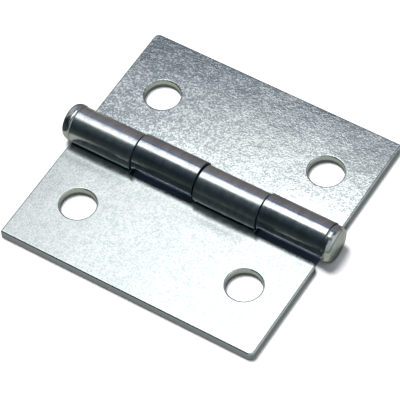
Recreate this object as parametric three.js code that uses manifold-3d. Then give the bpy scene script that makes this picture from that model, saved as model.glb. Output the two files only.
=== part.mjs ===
// Square butt hinge, open flat: two rolled sheet-steel leaves on one captive pin.
// Millimetres. +Z up, X along the pin, leaf undersides on z = 0, barrel standing up.
import * as THREE from 'three';
import { mergeVertices } from 'three/addons/utils/BufferGeometryUtils.js';
import Module from 'manifold-3d';

const LEAF_LENGTH = 50;      // along the pin
const LEAF_REACH = 25;       // pin axis to the leaf's free edge
const SHEET = 1.8;           // sheet thickness
const BARREL_R = 3.4;        // outside of the rolled knuckles
const BORE_R = BARREL_R - SHEET;
const AXIS_Z = BARREL_R;     // the knuckles stand on the plane of the undersides

const KNUCKLES = 4;
const KNUCKLE_GAP = 0.3;
const KNUCKLE_LENGTH = (LEAF_LENGTH - (KNUCKLES - 1) * KNUCKLE_GAP) / KNUCKLES;
const NOTCH_EDGE = 3.75;     // pin axis to the leaf edge facing the other leaf's knuckle
const ROLL_END = 22;         // degrees the roll runs on past the horizontal, to the slit

const HOLE_R = 3.2;          // plain screw holes
const HOLE_INSET = 8.4;      // hole centre to the leaf's end
const HOLE_REACH = 13.6;     // hole centre to the pin axis
const CORNER_R = 1;          // corners at one end of a leaf
const CRISP_CORNER_R = 0.3;  // free corner at the other end
const ROOT_R = 0.6;          // inside corners at the foot of a knuckle

const PIN_R = 1.55;
const HEAD_R = 3.4;
const HEAD_PLAY = 0.15;      // end play under each head
const ROUND_HEAD = { length: 2, edgeR: 1, crown: 0.2 };           // -X end
const FLAT_HEAD = { length: 1.75, edgeR: 0.45, crown: 0.12 };     // +X end

const ARC_STEPS = 48;        // facets in a full turn
const CORNER_STEPS = 6;      // facets in a rounded corner
const FACE_STEPS = 3;        // rings across the crowned face
const OVERCUT = 1;           // how far a cutting body runs past what it cuts
const SHIFT_X = (ROUND_HEAD.length - FLAT_HEAD.length) / 2;   // centres the outline

const wasm = await Module();
wasm.setup();

const radians = THREE.MathUtils.degToRad;

function toSolid(geometry) {
  const bare = geometry.clone();
  bare.deleteAttribute('normal');
  bare.deleteAttribute('uv');
  const welded = mergeVertices(bare, 1e-5);
  return new wasm.Manifold(new wasm.Mesh({
    numProp: 3,
    vertProperties: Float32Array.from(welded.attributes.position.array),
    triVerts: Uint32Array.from(welded.index.array),
  }));
}

function toMesh(solid, name, look) {
  const { vertProperties, triVerts } = solid.getMesh();
  const geometry = new THREE.BufferGeometry();
  geometry.setAttribute('position', new THREE.BufferAttribute(vertProperties, 3));
  geometry.setIndex(new THREE.BufferAttribute(triVerts, 1));
  geometry.computeVertexNormals();
  const mesh = new THREE.Mesh(geometry, new THREE.MeshStandardMaterial(look));
  mesh.name = name;
  return mesh;
}

// Corner points of a closed outline, each [x, y, radius], joined by straight lines
// and tangent arcs.
function roundedOutline(corners) {
  const path = [];
  corners.forEach(([x, y, radius], i) => {
    const here = new THREE.Vector2(x, y);
    const [ax, ay] = corners.at(i - 1);
    const [bx, by] = corners[(i + 1) % corners.length];
    const back = new THREE.Vector2(ax, ay).sub(here).normalize();
    const on = new THREE.Vector2(bx, by).sub(here).normalize();
    if (!radius) {
      path.push(here);
      return;
    }
    // every corner here is a right angle, so the arc's centre is one radius along each side
    const centre = here.clone().addScaledVector(back, radius).addScaledVector(on, radius);
    for (let k = 0; k <= CORNER_STEPS; k += 1) {
      const turn = (k / CORNER_STEPS) * Math.PI / 2;
      path.push(centre.clone()
        .addScaledVector(on, -radius * Math.cos(turn))
        .addScaledVector(back, -radius * Math.sin(turn)));
    }
  });
  return path;
}

// Side view of a leaf on the -Y side: the sheet runs flat to the axis, then rolls under
// the pin, up, over and down again to a slit above its own top face. Shape x is Y.
function sideProfile() {
  const shape = new THREE.Shape();
  const start = radians(-90);
  const end = radians(180 + ROLL_END);
  shape.moveTo(-LEAF_REACH, 0);
  shape.lineTo(0, 0);
  shape.absarc(0, AXIS_Z, BARREL_R, start, end, false);
  shape.absarc(0, AXIS_Z, BORE_R, end, start, true);
  shape.lineTo(-LEAF_REACH, SHEET);
  shape.closePath();
  return shape;
}

// Top view of the same leaf: rounded free corners, one tongue per knuckle, screw holes.
function topProfile() {
  const half = LEAF_LENGTH / 2;
  const pitch = KNUCKLE_LENGTH + KNUCKLE_GAP;
  const beyond = BARREL_R + OVERCUT;
  const corners = [
    [-half, -LEAF_REACH, CRISP_CORNER_R],
    [half, -LEAF_REACH, CORNER_R],
    [half, -NOTCH_EDGE, CORNER_R],
  ];
  for (let k = KNUCKLES - 2; k >= 0; k -= 2) {      // knuckles 3 and 1, counted from -X
    const left = -half + k * pitch;
    const right = left + KNUCKLE_LENGTH;
    corners.push([right, -NOTCH_EDGE, ROOT_R], [right, beyond, 0], [left, beyond, 0]);
    if (k > 0) corners.push([left, -NOTCH_EDGE, ROOT_R]);
  }
  const shape = new THREE.Shape(roundedOutline(corners));
  for (const side of [-1, 1]) {
    const hole = new THREE.Path();
    hole.absarc(side * (half - HOLE_INSET), -HOLE_REACH, HOLE_R, 0, 2 * Math.PI, true);
    shape.holes.push(hole);
  }
  return shape;
}

function leafSolid() {
  const side = new THREE.ExtrudeGeometry(sideProfile(), {
    depth: LEAF_LENGTH, bevelEnabled: false, curveSegments: ARC_STEPS / 2,
  });
  const alongX = new THREE.Matrix4().makeBasis(
    new THREE.Vector3(0, 1, 0), new THREE.Vector3(0, 0, 1), new THREE.Vector3(1, 0, 0),
  );
  side.applyMatrix4(alongX).translate(-LEAF_LENGTH / 2, 0, 0);
  const top = new THREE.ExtrudeGeometry(topProfile(), {
    depth: 2 * (BARREL_R + OVERCUT), bevelEnabled: false, curveSegments: ARC_STEPS / 2,
  });
  top.translate(0, 0, -OVERCUT);
  return toSolid(side).intersect(toSolid(top));
}

// Half outline of a formed head as [radius, distance from its seat], from the seat's rim
// round the edge and across the crowned face to the axis.
function headProfile({ length, edgeR, crown }) {
  const points = [[HEAD_R, 0]];
  const rim = length - crown;
  for (let k = 0; k <= CORNER_STEPS; k += 1) {
    const turn = (k / CORNER_STEPS) * Math.PI / 2;
    points.push([HEAD_R - edgeR * (1 - Math.cos(turn)), rim - edgeR * (1 - Math.sin(turn))]);
  }
  const faceR = HEAD_R - edgeR;
  for (let k = FACE_STEPS - 1; k >= 0; k -= 1) {
    const radius = (k / FACE_STEPS) * faceR;
    points.push([radius, rim + crown * (1 - (radius / faceR) ** 2)]);
  }
  return points;
}

// Half outline of the pin, closed on the axis at both ends. Point y is the distance along X.
function pinProfile() {
  const reach = LEAF_LENGTH / 2 + HEAD_PLAY;
  return [
    ...headProfile(ROUND_HEAD).map(([radius, out]) => [radius, -reach - out]).reverse(),
    [PIN_R, -reach],
    [PIN_R, reach],
    ...headProfile(FLAT_HEAD).map(([radius, out]) => [radius, reach + out]),
  ].map(([radius, along]) => new THREE.Vector2(radius, along));
}

function pinSolid() {
  const lathe = new THREE.LatheGeometry(pinProfile(), ARC_STEPS);
  const alongX = new THREE.Matrix4().makeBasis(
    new THREE.Vector3(0, 1, 0), new THREE.Vector3(1, 0, 0), new THREE.Vector3(0, 0, -1),
  );
  lathe.applyMatrix4(alongX).translate(0, 0, AXIS_Z);
  return toSolid(lathe);
}

const zincSheet = { color: 0xb9c2c1, metalness: 0.9, roughness: 0.35 };
const zincPin = { color: 0x9a9e94, metalness: 0.9, roughness: 0.3 };

const leaf = leafSolid();
const hinge = new THREE.Group();
hinge.name = 'butt_hinge';
hinge.add(
  toMesh(leaf.translate([SHIFT_X, 0, 0]), 'front_leaf', zincSheet),
  toMesh(leaf.rotate([0, 0, 180]).translate([SHIFT_X, 0, 0]), 'back_leaf', zincSheet),
  toMesh(pinSolid().translate([SHIFT_X, 0, 0]), 'hinge_pin', zincPin),
);

export default hinge;
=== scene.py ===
import math

import bpy
import numpy as np
from mathutils import Matrix, Vector
from mathutils.geometry import delaunay_2d_cdt


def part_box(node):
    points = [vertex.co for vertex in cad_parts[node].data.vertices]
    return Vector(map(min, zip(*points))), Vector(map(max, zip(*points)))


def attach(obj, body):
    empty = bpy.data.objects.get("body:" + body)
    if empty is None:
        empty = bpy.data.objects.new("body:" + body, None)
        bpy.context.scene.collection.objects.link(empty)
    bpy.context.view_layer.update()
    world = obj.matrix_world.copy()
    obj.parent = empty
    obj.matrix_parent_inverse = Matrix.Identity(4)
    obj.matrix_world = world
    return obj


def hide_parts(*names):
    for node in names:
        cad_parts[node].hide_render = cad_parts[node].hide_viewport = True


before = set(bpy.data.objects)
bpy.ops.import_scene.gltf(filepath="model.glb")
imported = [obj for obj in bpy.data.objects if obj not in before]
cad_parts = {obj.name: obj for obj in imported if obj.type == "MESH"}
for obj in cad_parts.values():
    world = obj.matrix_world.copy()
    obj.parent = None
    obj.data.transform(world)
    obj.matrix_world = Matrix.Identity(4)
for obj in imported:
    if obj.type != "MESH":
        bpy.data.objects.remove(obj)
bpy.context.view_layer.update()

# ---------------------------------------------------------------- sizes, in millimetres
MM = 0.001
LEAF_LOW, LEAF_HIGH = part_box("front_leaf")
PIN_LOW, PIN_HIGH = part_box("hinge_pin")
LEAF_LENGTH = (LEAF_HIGH.x - LEAF_LOW.x) / MM
LEAF_REACH = -LEAF_LOW.y / MM      # pin axis to the free edge
LEAF_MIDDLE = (LEAF_HIGH.x + LEAF_LOW.x) / 2 / MM

SHEET = 1.8
BARREL_R = 3.4
AXIS_Z = BARREL_R
NEUTRAL_R = BARREL_R - SHEET / 2   # middle of the sheet in the roll
ROLL_TURN = math.radians(292)      # how far the sheet is rolled round the pin
ROLL_LENGTH = NEUTRAL_R * ROLL_TURN

# Both leaves are drawn as the front one, with knuckles 0 and 2 counted from the -X end.
KNUCKLES = 4
KNUCKLE_GAP = 0.3
KNUCKLE_LENGTH = (LEAF_LENGTH - (KNUCKLES - 1) * KNUCKLE_GAP) / KNUCKLES
KNUCKLE_PITCH = KNUCKLE_LENGTH + KNUCKLE_GAP
END_SHIFT = {0: 0.12, 2: 0.05}     # the knuckles sit a little off the even spacing
NOTCH_EDGE = 3.75                  # pin axis to the edge that faces the other leaf's knuckle

HOLE_R = 3.2
HOLE_INSET = 8.4                   # hole centre to the leaf's end
HOLE_REACH = 13.6                  # hole centre to the pin axis
CORNER_R = 1.0
CRISP_CORNER_R = 0.3
ROOT_R = 0.6
TONGUE_R = 0.5
LEAST_R = 0.03

PIN_R = 1.55
HEAD_R = 3.4
TIGHT_PLAY = 0.05                  # the heads are drawn up to their knuckles
SEAT_ALONG, SEAT_INWARD = 0.45, 0.13     # broken edge of a head, next to the knuckle
ROUND_HEAD = {"along": 1.45, "inward": 1.0, "crown": 0.2}        # -X end
FLAT_HEAD = {"along": 1.15, "inward": 0.60, "crown": 0.12}       # +X end

# How far the rolled sheet strays from the drawing.
DIP = 0.06                         # depth of the dip in front of each knuckle
DIP_LEAD = {0: 11.0, 2: 2.0}       # how far the dip starts before its knuckle
DIP_END = 1.0                      # how far it runs on past its knuckle
DIP_FADE = 6.0
SWAY = 0.004                       # unevenness of the top face
OUT_OF_ROUND = 0.17
RIPPLE = 0.005                     # waviness of the outside of the roll
ROLL_SKIN = 0.014                  # taken off the roll, to keep the ripple inside the barrel
ROLL_EASE = 0.6                    # radians of roll over which these come in

# Mesh spacing.
FLAT_STEP = 0.9                    # points on the flat
ROOT_STEP = 0.45                   # rows between the notch edge and the roll
ROLL_STEP = ROLL_LENGTH / 84       # rows round the roll
ROLL_STEP_X = 1.1                  # points along a row of the roll
FLAT_ROWS_END, ROOT_ROWS_END = -NOTCH_EDGE - 0.4, -0.3
ROW_MARGIN = 0.2                   # from a corner's curve to the nearest row
EDGE_MARGIN = 0.35                 # from the outline to the nearest inner point
CORNER_STEPS = 8
HOLE_SIDES = 96
PIN_SIDES = 96
PIN_STEPS = 40                     # rings along the pin's shank
SHANK_MARGIN = 0.1                 # from a head to the nearest of those rings
HEAD_NECK = 0.05                   # how much wider than the pin a head starts
PIN_CREASE = math.radians(50)

# Section of a sheared edge, from the top face down: (distance in from the edge, height).
# The punch side is drawn over in a soft radius, the far side keeps a fine break.
DRAWN_IN, DRAWN_DOWN, BREAK = 0.32, 0.24, 0.08
DRAWN_STEPS, BREAK_STEPS = 7, 3
WALL_HEIGHTS = (1.2, 0.95, 0.7, 0.45, 0.25)
EDGE_SECTION = (
    [(DRAWN_IN * (1 - math.sin(a)), SHEET - DRAWN_DOWN * (1 - math.cos(a)))
     for a in np.linspace(0, math.pi / 2, DRAWN_STEPS + 1)]
    + [(0.0, h) for h in WALL_HEIGHTS]
    + [(BREAK * (1 - math.cos(a)), BREAK * (1 - math.sin(a)))
       for a in np.linspace(0, math.pi / 2, BREAK_STEPS + 1)]
)


# ---------------------------------------------------------------- the flat blank of a leaf
def leaf_corners():
    """Corners of the flat blank, anticlockwise, as (x, v, radius). v runs across the leaf
    and on round the roll, with 0 below the pin."""
    half = LEAF_LENGTH / 2
    corners = [(-half, -LEAF_REACH, CRISP_CORNER_R), (half, -LEAF_REACH, CORNER_R),
               (half, -NOTCH_EDGE, CORNER_R)]
    for k in (2, 0):
        left = -half + k * KNUCKLE_PITCH + (END_SHIFT[k] if k else 0.0)
        right = -half + k * KNUCKLE_PITCH + KNUCKLE_LENGTH + END_SHIFT[k]
        corners += [(right, -NOTCH_EDGE, ROOT_R), (right, ROLL_LENGTH, TONGUE_R),
                    (left, ROLL_LENGTH, TONGUE_R)]
        if k:
            corners.append((left, -NOTCH_EDGE, ROOT_R))
    return corners


def roll_rows():
    """The values of v that have a row of mesh points."""
    flat = np.arange(-LEAF_REACH + FLAT_STEP, FLAT_ROWS_END, FLAT_STEP)
    root = np.arange(-NOTCH_EDGE, ROOT_ROWS_END, ROOT_STEP)
    return np.concatenate([flat, root, np.arange(0, ROLL_LENGTH, ROLL_STEP)])


def blank_outline(inset):
    """The outline moved in by inset: its points, and which way is out at each. Every inset
    gives the same number of points."""
    corners = leaf_corners()
    path, out = [], []
    for i, (x, y, r) in enumerate(corners):
        here = np.array([x, y])
        nx, ny, nr = corners[(i + 1) % len(corners)]
        back = np.array(corners[i - 1][:2]) - here
        on = np.array([nx, ny]) - here
        reach = np.linalg.norm(on)
        back, on = back / np.linalg.norm(back), on / reach
        outer = back[0] * on[1] - back[1] * on[0] < 0        # a corner that points out
        if outer:
            small = max(r - inset, LEAST_R)
            centre = here + (max(r, inset + small)) * (back + on)
        else:
            small = r + inset
            centre = here + r * (back + on)
        for turn in np.linspace(0, math.pi / 2, CORNER_STEPS + 1):
            ray = on * math.cos(turn) + back * math.sin(turn)
            path.append(centre - small * ray)
            out.append(-ray if outer else ray)
        side = np.array([on[1], -on[0]])
        a, b = here + on * r, here + on * (reach - nr)
        if abs(on[1]) > abs(on[0]):       # keep the rows of both sides of a knuckle in step
            rows = roll_rows()
            rows = rows[(rows > min(a[1], b[1]) + ROW_MARGIN)
                        & (rows < max(a[1], b[1]) - ROW_MARGIN)]
            cuts = [np.array([a[0], v]) for v in (rows if on[1] > 0 else rows[::-1])]
        else:
            n = max(2, round(np.linalg.norm(b - a) / FLAT_STEP))
            cuts = [a + (b - a) * k / n for k in range(1, n)]
        for cut in cuts:
            path.append(cut - side * inset)
            out.append(side)
    return np.array(path), np.array(out)


def hole_outline(centre, inset):
    turn = np.linspace(0, -2 * math.pi, HOLE_SIDES, endpoint=False)
    ray = np.stack([np.cos(turn), np.sin(turn)], 1)
    return np.array(centre) + (HOLE_R + inset) * ray, -ray


def outlines(inset):
    """Outer outline and the two screw holes, all moved into the metal by inset."""
    across = LEAF_LENGTH / 2 - HOLE_INSET
    return [blank_outline(inset)] + [hole_outline((side * across, -HOLE_REACH), inset)
                                     for side in (-1, 1)]


def inside_polygon(points, polygon):
    x, y = points[:, 0], points[:, 1]
    hit = np.zeros(len(points), bool)
    for (ax, ay), (bx, by) in zip(polygon, np.roll(polygon, -1, 0)):
        cross = (ay > y) != (by > y)
        with np.errstate(divide="ignore", invalid="ignore"):
            hit ^= cross & (x < (bx - ax) * (y - ay) / (by - ay) + ax)
    return hit


def in_the_metal(points, loops):
    inside = inside_polygon(points, loops[0])
    for hole in loops[1:]:
        inside &= ~inside_polygon(points, hole)
    return inside


def fill(loops, rows):
    """Triangles over the region inside loops[0] and outside the rest, with inner points
    on the given rows. Returns (extra points, triangles over loop points + extras)."""
    edge = np.concatenate(loops)
    grid = []
    for v in rows:
        step = FLAT_STEP if v < -NOTCH_EDGE else ROLL_STEP_X
        xs = np.arange(-LEAF_LENGTH / 2, LEAF_LENGTH / 2 + step, step)
        grid += [(x, v) for x in xs]
    grid = np.array(grid)
    grid = grid[in_the_metal(grid, loops)]
    near = np.array([np.min(np.hypot(*(edge - p).T)) for p in grid])
    grid = grid[near > EDGE_MARGIN]
    points = np.concatenate([edge, grid])
    edges, start = [], 0
    for loop in loops:
        n = len(loop)
        edges += [(start + k, start + (k + 1) % n) for k in range(n)]
        start += n
    made = delaunay_2d_cdt([Vector(p) for p in points], edges, [], 0, 1e-6)
    verts, faces, origin = made[0], made[2], made[3]
    if len(verts) != len(points):
        raise ValueError("the outline crosses itself")
    index = [o[0] for o in origin]
    tris = np.array([[index[i] for i in f] for f in faces])
    tris = tris[in_the_metal(points[tris].mean(1), loops)]
    a, b, c = (points[tris[:, k]] for k in range(3))
    area = (b[:, 0] - a[:, 0]) * (c[:, 1] - a[:, 1]) - (b[:, 1] - a[:, 1]) * (c[:, 0] - a[:, 0])
    tris[area < 0] = tris[area < 0][:, ::-1]
    return grid, tris


# ---------------------------------------------------------------- rolling the blank
def smooth(t):
    t = np.clip(t, 0, 1)
    return t * t * (3 - 2 * t)


def rise(value, start, length):
    """From 0 at start to 1 a length further on."""
    return smooth((value - start) / length)


def dip(x, v):
    """How far the top face sinks where the sheet was gripped to roll each knuckle."""
    total = np.zeros_like(x)
    for k, lead in DIP_LEAD.items():
        left = -LEAF_LENGTH / 2 + k * KNUCKLE_PITCH
        right = left + KNUCKLE_LENGTH
        total += rise(x, left - lead, DIP_FADE) * smooth((right + DIP_END - x) / DIP_FADE)
    return DIP * total * rise(v, -7.4, 3.0) * (1 - rise(v, -3.6, 2.4))


def rolled(p):
    """Blank coordinates (x, v, height in the sheet) to the finished leaf's x, y, z."""
    x, v, h = p[:, 0], p[:, 1], p[:, 2]
    share = h / SHEET
    sway = SWAY * np.sin(0.42 * x + 0.9) * np.sin(0.37 * v + 0.4)
    turn = np.maximum(v, 0) / NEUTRAL_R
    angle = turn - math.pi / 2
    eased = smooth(turn / ROLL_EASE) * (1 - share)      # none of it on the inside of the roll
    out = -OUT_OF_ROUND * np.cos(angle) - ROLL_SKIN
    out += RIPPLE * (np.sin(1.9 * x + 0.7 * v) + np.sin(0.83 * x - 1.3 * v + 1.0))
    radius = BARREL_R - h + out * eased
    y = np.where(v > 0, radius * np.cos(angle), v)
    z = np.where(v > 0, AXIS_Z + radius * np.sin(angle), h - (dip(x, v) + sway) * share)
    return np.stack([x, y, z], 1)


def turned_normals(p, n):
    """Normals of the finished leaf, from those of the blank."""
    step = 1e-3
    columns = []
    for k in range(3):
        d = np.zeros(3)
        d[k] = step
        columns.append((rolled(p + d) - rolled(p - d)) / (2 * step))
    jacobian = np.stack(columns, 2)
    out = np.linalg.solve(np.transpose(jacobian, (0, 2, 1)), n[:, :, None])[:, :, 0]
    return out / np.linalg.norm(out, axis=1)[:, None]


def smooth_mesh(name, co, faces):
    mesh = bpy.data.meshes.new(name)
    mesh.from_pydata((co * MM).tolist(), [], faces)
    mesh.polygons.foreach_set("use_smooth", [True] * len(faces))
    return mesh


def add_piece(name, mesh):
    if mesh.validate():
        raise ValueError(name + " has bad faces")
    piece = bpy.data.objects.new(name, mesh)
    bpy.context.scene.collection.objects.link(piece)
    return piece


def make_leaf(name, half_turn):
    rows = roll_rows()
    points, normals, depth, hole, faces, slots = [], [], [], [], [], []
    section = np.array(EDGE_SECTION)
    slope = np.gradient(section, axis=0)
    slope /= np.linalg.norm(slope, axis=1)[:, None]
    slope[0], slope[-1] = (-1, 0), (1, 0)      # the rings next to the faces lie flat
    for (inset, height), (run, climb) in zip(section, slope):
        for number, (path, out) in enumerate(outlines(inset)):
            n = len(path)
            points.append(np.column_stack([path, np.full(n, height)]))
            normals.append(np.column_stack([-climb * out, np.full(n, -run)]))
            depth.append(np.full(n, height / SHEET))
            hole.append(np.full(n, float(number > 0)))
    levels = len(section)
    sizes = [len(path) for path, _ in outlines(section[0][0])]
    ring_size = sum(sizes)

    for level in range(levels - 1):            # the sheared walls
        start = level * ring_size
        for n in sizes:
            for k in range(n):
                a, b = start + k, start + (k + 1) % n
                faces.append((b, a, a + ring_size, b + ring_size))
                slots.append(0 if level < DRAWN_STEPS else 1)
            start += n

    for level, height, up in ((0, SHEET, 1), (levels - 1, 0.0, -1)):     # the two faces
        extra, tris = fill([path for path, _ in outlines(section[level][0])], rows)
        base = sum(len(p) for p in points)
        points.append(np.column_stack([extra, np.full(len(extra), height)]))
        normals.append(np.tile([0, 0, up], (len(extra), 1)))
        depth.append(np.full(len(extra), height / SHEET))
        hole.append(np.zeros(len(extra)))
        ring = level * ring_size
        for tri in tris:
            ids = [ring + i if i < ring_size else base + i - ring_size for i in tri]
            faces.append(tuple(ids if up > 0 else ids[::-1]))
            slots.append(0)

    blank = np.concatenate(points)
    x, v = blank[:, 0], blank[:, 1]
    co = rolled(blank)
    n = turned_normals(blank, np.concatenate(normals))
    if half_turn:
        co[:, :2] *= -1
        n[:, :2] *= -1
    co[:, 0] += LEAF_MIDDLE
    # painted shade on the back leaf: its colour is darkened towards its -X end and along its free
    # edge
    painted_shade = (0.9 * rise(x, -10, 35) + 0.5 * rise(-v, 14, 11)) * half_turn

    mesh = smooth_mesh(name, co, faces)
    mesh.polygons.foreach_set("material_index", slots)
    for key, values in (("depth", np.concatenate(depth)), ("hole", np.concatenate(hole)),
                        ("painted_shade", np.clip(painted_shade, 0, 1)), ("rolled", rise(v, -3.0, 2.0)),
                        ("root", rise(v, -7.5, 4.0))):
        layer = mesh.attributes.new(key, "FLOAT", "POINT")
        layer.data.foreach_set("value", np.asarray(values, np.float32))
    mesh.normals_split_custom_set_from_vertices(n.tolist())
    mesh.update()
    return add_piece(name, mesh)


# ---------------------------------------------------------------- the pin
def head_section(length, along, inward, crown):
    """(distance from the seat, radius) of a formed head, from the seat to the axis. Its
    edge is an oval curve, along by inward, and its face is crowned."""
    out = [(0.0, PIN_R + HEAD_NECK)]
    for a in np.linspace(0, math.pi / 2, 5):
        out.append((SEAT_ALONG * (1 - math.cos(a)), HEAD_R - SEAT_INWARD * (1 - math.sin(a))))
    rim = length - crown
    for a in np.linspace(0, math.pi / 2, 13):
        out.append((rim - along * (1 - math.sin(a)), HEAD_R - inward * (1 - math.cos(a))))
    face_r = HEAD_R - inward
    for t in np.linspace(1, 0, 9)[1:]:
        out.append((rim + crown * (1 - t * t), face_r * t))
    return out


def pin_section():
    """(distance along X, radius) from one head's face to the other's."""
    left, right = LEAF_LOW.x / MM - TIGHT_PLAY, LEAF_HIGH.x / MM + TIGHT_PLAY
    one = head_section(left - PIN_LOW.x / MM, **ROUND_HEAD)
    other = head_section(PIN_HIGH.x / MM - right, **FLAT_HEAD)
    shank = np.linspace(left + SHANK_MARGIN, right - SHANK_MARGIN, PIN_STEPS)
    return ([(left - along, r) for along, r in one[::-1]] + [(x, PIN_R) for x in shank]
            + [(right + along, r) for along, r in other])


def make_pin(name):
    section = pin_section()
    co, faces = [], []
    for x, r in section[1:-1]:
        for k in range(PIN_SIDES):
            a = 2 * math.pi * k / PIN_SIDES
            co.append((x, r * math.cos(a), AXIS_Z + r * math.sin(a)))
    last = len(section) - 3
    for level in range(last):
        for k in range(PIN_SIDES):
            a, b = level * PIN_SIDES + k, level * PIN_SIDES + (k + 1) % PIN_SIDES
            faces.append((a, b, b + PIN_SIDES, a + PIN_SIDES))
    for x, level in ((section[0][0], 0), (section[-1][0], last)):
        centre = len(co)
        co.append((x, 0, AXIS_Z))
        for k in range(PIN_SIDES):
            a, b = level * PIN_SIDES + k, level * PIN_SIDES + (k + 1) % PIN_SIDES
            faces.append((b, a, centre) if level == 0 else (a, b, centre))
    mesh = smooth_mesh(name, np.array(co, float), faces)
    mesh.set_sharp_from_angle(angle=PIN_CREASE)
    return add_piece(name, mesh)


# ---------------------------------------------------------------- materials
class Nodes:
    """Short-hand for building a node tree."""

    def __init__(self, tree):
        self.tree = tree

    def link(self, value, socket):
        if isinstance(value, bpy.types.NodeSocket):
            self.tree.links.new(value, socket)
        else:
            socket.default_value = value

    def math(self, kind, a, b=None, clamp=False):
        node = self.tree.nodes.new("ShaderNodeMath")
        node.operation = kind
        node.use_clamp = clamp
        self.link(a, node.inputs[0])
        if b is not None:
            self.link(b, node.inputs[1])
        return node.outputs[0]

    def band(self, value, low, high, out_low=0.0, out_high=1.0, kind="SMOOTHSTEP"):
        node = self.tree.nodes.new("ShaderNodeMapRange")
        node.interpolation_type = kind
        self.link(value, node.inputs["Value"])
        for key, v in (("From Min", low), ("From Max", high), ("To Min", out_low),
                       ("To Max", out_high)):
            self.link(v, node.inputs[key])
        return node.outputs["Result"]

    def mix(self, share, a, b):
        node = self.tree.nodes.new("ShaderNodeMix")
        node.data_type = "RGBA"
        self.link(share, node.inputs[0])
        for value, socket in ((a, node.inputs[6]), (b, node.inputs[7])):
            self.link(value if isinstance(value, bpy.types.NodeSocket) else (*value, 1.0), socket)
        return node.outputs[2]


class Material(Nodes):
    """A material's nodes, with textures that follow the object in its own millimetres."""

    def __init__(self, name):
        self.material = bpy.data.materials.new(name)
        self.material.use_nodes = True
        super().__init__(self.material.node_tree)
        self.shader = self.tree.nodes["Principled BSDF"]
        self.place = self.tree.nodes.new("ShaderNodeTexCoord").outputs["Object"]

    def noise(self, per_mm, detail=2.0, rough=0.5, stretch=(1, 1, 1)):
        mapping = self.tree.nodes.new("ShaderNodeMapping")
        mapping.inputs["Scale"].default_value = [s * per_mm / MM for s in stretch]
        self.link(self.place, mapping.inputs["Vector"])
        node = self.tree.nodes.new("ShaderNodeTexNoise")
        node.inputs["Scale"].default_value = 1.0
        node.inputs["Detail"].default_value = detail
        node.inputs["Roughness"].default_value = rough
        self.link(mapping.outputs["Vector"], node.inputs["Vector"])
        return node.outputs["Fac"]

    def attribute(self, name):
        node = self.tree.nodes.new("ShaderNodeAttribute")
        node.attribute_name = name
        return node.outputs["Fac"]

    def bump(self, height, distance_mm, strength=1.0, under=None):
        node = self.tree.nodes.new("ShaderNodeBump")
        node.inputs["Distance"].default_value = distance_mm * MM
        self.link(strength, node.inputs["Strength"])
        self.link(height, node.inputs["Height"])
        if under is not None:
            self.link(under, node.inputs["Normal"])
        return node.outputs["Normal"]

    def metal(self, colour, rough, normal):
        self.shader.inputs["Metallic"].default_value = 1.0
        self.link(colour, self.shader.inputs["Base Color"])
        self.link(rough, self.shader.inputs["Roughness"])
        self.link(normal, self.shader.inputs["Normal"])
        return self.material


# Plating on the two leaves: the speckle's light and dark tones, the dark tone of the painted
# shade on the back leaf, the two tones of the rubbed roll, how rough the roll is (matt, bright),
# how deep the speckle is, how far broad patches wash it out, and how rough the flat is.
FRONT_PLATING = {
    "light": (0.86, 0.905, 0.885), "dark": (0.70, 0.775, 0.75), "painted_shade_tone": (0.70, 0.775, 0.75),
    "rubbed": ((0.68, 0.72, 0.73), (0.86, 0.89, 0.90)), "roll_rough": (0.24, 0.15),
    "speckle": 0.7, "wash": 0.2, "flat_rough": (0.20, 0.14)}
BACK_PLATING = {
    "light": (0.95, 0.99, 0.96), "dark": (0.62, 0.68, 0.67), "painted_shade_tone": (0.30, 0.35, 0.39),
    "rubbed": ((0.60, 0.64, 0.67), (0.84, 0.87, 0.89)), "roll_rough": (0.17, 0.10),
    "speckle": 1.3, "wash": 0.0, "flat_rough": (0.15, 0.10)}


def zinc_sheet(name, light, dark, painted_shade_tone, rubbed, roll_rough, speckle, wash, flat_rough):
    """Bright zinc plate on rolled sheet: speckled on the flat, rubbed round the roll."""
    m = Material(name)
    roll, root, painted_shade = m.attribute("rolled"), m.attribute("root"), m.attribute("painted_shade")
    flat = m.math("SUBTRACT", 1.0, root, clamp=True)
    grain = m.noise(3.0, detail=3.0, rough=0.6)
    fine = m.noise(4.5)
    coarse = m.noise(0.9, detail=3.0, rough=0.6)
    broad = m.noise(0.10)
    streak = m.noise(1.0, detail=6.0, rough=0.85, stretch=(0.5, 0.10, 0.10))
    scuff = m.noise(1.0, detail=6.0, rough=0.8, stretch=(1.5, 0.8, 0.8))

    mottle = m.math("ADD", m.math("MULTIPLY", grain, 0.75), m.math("MULTIPLY", coarse, 0.25))
    # painted shade: where the shade mask is high, the speckle turns darker, its dark tone moves
    # to the shade tone, and the whole colour is pulled towards the dark tone
    patch = m.band(m.math("SUBTRACT", mottle, m.math("MULTIPLY", painted_shade, 0.05)), 0.415, 0.545)
    colour = m.mix(patch, m.mix(painted_shade, dark, painted_shade_tone), light)
    colour = m.mix(m.band(broad, 0.30, 0.70, 0.0, wash), colour, light)
    colour = m.mix(m.math("MULTIPLY", painted_shade, 0.30), colour, dark)
    colour = m.mix(roll, colour, m.mix(m.band(streak, 0.35, 0.65), *rubbed))

    rough = m.math("ADD",
                   m.math("MULTIPLY", m.band(mottle, 0.35, 0.65, *flat_rough), flat),
                   m.math("MULTIPLY", m.band(scuff, 0.35, 0.65, *roll_rough), root))

    normal = None
    for height, deep in ((fine, 0.003), (grain, 0.007), (coarse, 0.007)):
        normal = m.bump(height, deep * speckle, flat, normal)
    for height, deep in ((scuff, 0.024), (streak, 0.012)):
        normal = m.bump(height, deep, roll, normal)
    normal = m.bump(broad, 0.05, m.band(roll, 0, 1, 1.0, 0.3), normal)
    return m.metal(colour, rough, normal)


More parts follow.
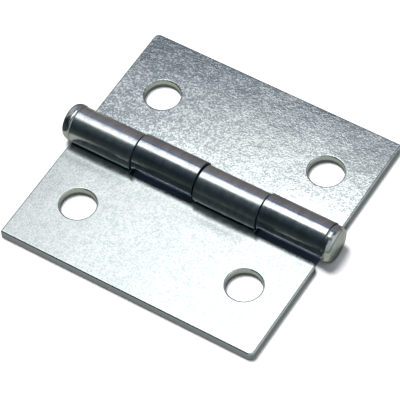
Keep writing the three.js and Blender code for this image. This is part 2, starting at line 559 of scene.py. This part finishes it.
def sheared_edge(name):
    """Cut edge of the sheet: a smooth burnished band by the top, a torn one below. The
    holes were punched, which burnishes them more brightly than the sheared outline."""
    m = Material(name)
    depth, hole = m.attribute("depth"), m.attribute("hole")
    ragged = m.noise(1.6, detail=4.0, rough=0.6)
    streak = m.noise(5.0, detail=3.0, stretch=(1, 1, 0.15))
    grit = m.noise(6.0, detail=5.0, rough=0.7)
    line = m.math("ADD", depth, m.math("MULTIPLY", m.math("SUBTRACT", ragged, 0.5), 0.22))
    torn = m.band(line, 0.46, 0.38)
    burnish = m.mix(hole, (0.54, 0.58, 0.65), (0.92, 0.97, 0.86))
    fracture = m.mix(hole, (0.70, 0.71, 0.71), (0.40, 0.41, 0.43))
    colour = m.mix(torn, burnish, fracture)
    # painted shade: the cut walls inside the notches and between the knuckles are darkened
    # towards navy
    colour = m.mix(m.attribute("root"), colour, (0.11, 0.14, 0.19))
    colour = m.mix(m.band(grit, 0.35, 0.7, 0.0, 0.3), colour, (0.10, 0.11, 0.11))
    rough = m.band(torn, 0, 1, 0.32, 0.60)
    normal = m.bump(streak, 0.010, m.band(torn, 0, 1, 0.8, 0.2))
    normal = m.bump(grit, 0.03, torn, normal)
    return m.metal(colour, rough, normal)


def zinc_pin(name):
    """Zinc on cold-formed wire: smooth, faintly dimpled, a little olive."""
    m = Material(name)
    dimple = m.noise(0.55)
    fine = m.noise(2.2, detail=4.0, rough=0.6)
    mottle = m.noise(0.9, detail=4.0, rough=0.6)
    colour = m.mix(m.band(mottle, 0.35, 0.65), (0.66, 0.70, 0.68), (0.80, 0.83, 0.81))
    rough = m.band(fine, 0.3, 0.7, 0.11, 0.17)
    normal = m.bump(dimple, 0.08)
    normal = m.bump(fine, 0.006, 1.0, normal)
    return m.metal(colour, rough, normal)


# ---------------------------------------------------------------- the hinge
front = make_leaf("front_leaf_sheet", False)
back = make_leaf("back_leaf_sheet", True)
pin = make_pin("headed_pin")

front.data.materials.append(zinc_sheet("front_zinc", **FRONT_PLATING))
back.data.materials.append(zinc_sheet("back_zinc", **BACK_PLATING))
for leaf in (front, back):
    leaf.data.materials.append(sheared_edge(leaf.name + "_cut"))
pin.data.materials.append(zinc_pin("pin_zinc"))

for piece, body, node, slot in ((front, "front_leaf", "front_leaf", "front_leaf_zinc"),
                                (back, "back_leaf", "back_leaf", "back_leaf_zinc"),
                                (pin, "pin", "hinge_pin", "pin_zinc")):
    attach(piece, body)
    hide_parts(node)


# ---------------------------------------------------------------- floor, in metres
def sheet_on_floor(name, half_x, half_y, z, tones):
    """A plain rectangle lying under the hinge, with a matt paper finish."""
    mesh = bpy.data.meshes.new(name)
    mesh.from_pydata([(-half_x, -half_y, 0), (half_x, -half_y, 0), (half_x, half_y, 0),
                      (-half_x, half_y, 0)], [], [(0, 1, 2, 3)])
    sheet = bpy.data.objects.new(name, mesh)
    sheet.location.z = z
    bpy.context.scene.collection.objects.link(sheet)
    paper = Material(name + "_paper")
    paper.link(paper.mix(paper.noise(0.02), *tones), paper.shader.inputs["Base Color"])
    paper.shader.inputs["Roughness"].default_value = 0.9
    paper.shader.inputs["Specular IOR Level"].default_value = 0.0
    mesh.materials.append(paper.material)
    return sheet


LAYER = 0.00001                    # step between the sheets, so that none lie in one plane
floor = sheet_on_floor("floor", 3.0, 3.0, -3 * LAYER, ((0.86, 0.86, 0.86), (0.90, 0.90, 0.90)))
floor.visible_glossy = False
# The zinc mirrors this darker card in place of the floor, and only close to the hinge.
card = sheet_on_floor("reflection_card", 0.034, 0.035, -2 * LAYER,
                      ((0.22, 0.23, 0.21), (0.26, 0.27, 0.245)))
card.location.x = 0.003
card.visible_camera = card.visible_diffuse = card.visible_shadow = False
# Deep shade on the floor in the gaps beside the barrel, where next to no light gets in.
shade = sheet_on_floor("gap_shade", 0.0245, 0.0019, -LAYER,
                       ((0.15, 0.20, 0.30), (0.17, 0.22, 0.32)))
shade.location.y = -0.0019


# ---------------------------------------------------------------- light, in metres
def area_light(name, place, aim, width, depth, radiance, glossy=True):
    data = bpy.data.lights.new(name, "AREA")
    data.shape = "RECTANGLE"
    data.size, data.size_y = width, depth
    data.energy = radiance * math.pi * width * depth
    light = bpy.data.objects.new(name, data)
    light.location = place
    light.rotation_euler = (Vector(aim) - Vector(place)).to_track_quat("-Z", "Y").to_euler()
    light.visible_camera = False
    light.visible_glossy = glossy
    bpy.context.scene.collection.objects.link(light)


# One large softbox overhead, brighter towards its middle, so it is built in three layers:
# name, place, size along X and Y, radiance.
SOFTBOX = (("softbox", (-0.21, 0.1925, 0.602), 0.29, 0.435, 0.62),
           ("softbox_mid", (-0.185, 0.186, 0.601), 0.23, 0.422, 0.46),
           ("softbox_core", (-0.155, 0.177, 0.60), 0.14, 0.404, 0.42))
for name, place, size_x, size_y, radiance in SOFTBOX:
    area_light(name, place, (*place[:2], 0.0), size_x, size_y, radiance)
area_light("floor_wash", (-0.28, 0.10, 1.10), (0, 0, 0), 0.40, 0.40, 34.0, glossy=False)

# The room round the set, by the angle up from +Y and over towards -Y, in degrees. Its
# middle has a dim warm wall at the back, a bright strip overhead and a dark near side. It
# gives way to the pale, even sides by how far a direction's X is from MIDDLE_X.
MIDDLE = ((-180, (0.05, 0.06, 0.06)), (-120, (0.04, 0.05, 0.06)), (-60, (0.04, 0.05, 0.06)),
          (-20, (0.10, 0.09, 0.09)), (10, (0.20, 0.175, 0.16)), (32, (0.19, 0.18, 0.20)),
          (43, (0.24, 0.27, 0.38)), (50, (0.08, 0.10, 0.15)), (58, (0.06, 0.08, 0.12)),
          (66, (0.10, 0.12, 0.14)), (77, (0.45, 0.48, 0.50)), (92, (0.45, 0.48, 0.49)),
          (98, (0.13, 0.16, 0.16)), (110, (0.065, 0.085, 0.095)), (126, (0.028, 0.042, 0.052)),
          (146, (0.010, 0.018, 0.022)), (176, (0.025, 0.035, 0.035)), (180, (0.05, 0.06, 0.06)))
SIDES = ((-180, (0.20, 0.21, 0.21)), (-90, (0.06, 0.07, 0.07)), (-20, (0.16, 0.16, 0.16)),
         (15, (0.44, 0.45, 0.45)), (60, (0.60, 0.63, 0.64)), (90, (0.60, 0.63, 0.64)),
         (125, (0.40, 0.43, 0.45)), (165, (0.36, 0.38, 0.39)), (180, (0.20, 0.21, 0.21)))
MIDDLE_X, MIDDLE_EDGE = -0.34, (0.58, 0.94)
FAR_X_EDGE, FAR_Y_EDGE = (-0.50, -0.72), (0.15, 0.35)        # sooner at the back towards -X
NEAR_X_EDGE, NEAR_Y_EDGE = (-0.13, 0.07), (-0.25, -0.50)     # and on the near side

world = bpy.data.worlds.new("room")
bpy.context.scene.world = world
world.use_nodes = True
room = Nodes(world.node_tree)


def room_ramp(stops, share):
    ramp = room.tree.nodes.new("ShaderNodeValToRGB")
    room.link(share, ramp.inputs["Fac"])
    elements = ramp.color_ramp.elements
    while len(elements) < len(stops):
        elements.new(0.5)
    for element, (degrees, colour) in zip(elements, stops):
        element.position = (degrees + 180) / 360
        element.color = (*colour, 1.0)
    return ramp.outputs["Color"]


split = room.tree.nodes.new("ShaderNodeSeparateXYZ")
room.link(room.tree.nodes.new("ShaderNodeTexCoord").outputs["Generated"], split.inputs[0])
toward_x, toward_y, toward_z = (split.outputs[key] for key in "XYZ")
over = room.band(room.math("ARCTAN2", toward_z, toward_y), -math.pi, math.pi, kind="LINEAR")
off_middle = room.math("ABSOLUTE", room.math("SUBTRACT", toward_x, MIDDLE_X))
near = room.math("MULTIPLY", room.band(toward_x, *NEAR_X_EDGE),
                 room.band(toward_y, *NEAR_Y_EDGE))
far = room.math("MULTIPLY", room.band(toward_x, *FAR_X_EDGE), room.band(toward_y, *FAR_Y_EDGE))
side = room.math("MAXIMUM", room.band(off_middle, *MIDDLE_EDGE),
                 room.math("MAXIMUM", near, far))
room.link(room.mix(side, room_ramp(MIDDLE, over), room_ramp(SIDES, over)),
          room.tree.nodes["Background"].inputs["Color"])

# ---------------------------------------------------------------- camera, in metres
LENS, SENSOR = 246.14, 36.0        # millimetres
CLIP = (0.01, 20.0)
CAMERA_PLACE = (0.157545, -0.22623, 0.38021)
CAMERA_RIGHT = Vector((0.84971, 0.52571, -0.04029))
CAMERA_UP = Vector((-0.40703, 0.70261, 0.58367))

camera_data = bpy.data.cameras.new("camera")
camera_data.lens = LENS
camera_data.sensor_width = SENSOR
camera_data.clip_start, camera_data.clip_end = CLIP
camera = bpy.data.objects.new("camera", camera_data)
backwards = CAMERA_RIGHT.cross(CAMERA_UP)
turn = Matrix((CAMERA_RIGHT, CAMERA_UP, backwards)).transposed().to_4x4()
camera.matrix_world = Matrix.Translation(CAMERA_PLACE) @ turn
bpy.context.scene.collection.objects.link(camera)
bpy.context.scene.camera = camera

bpy.context.scene.view_settings.view_transform = "Standard"
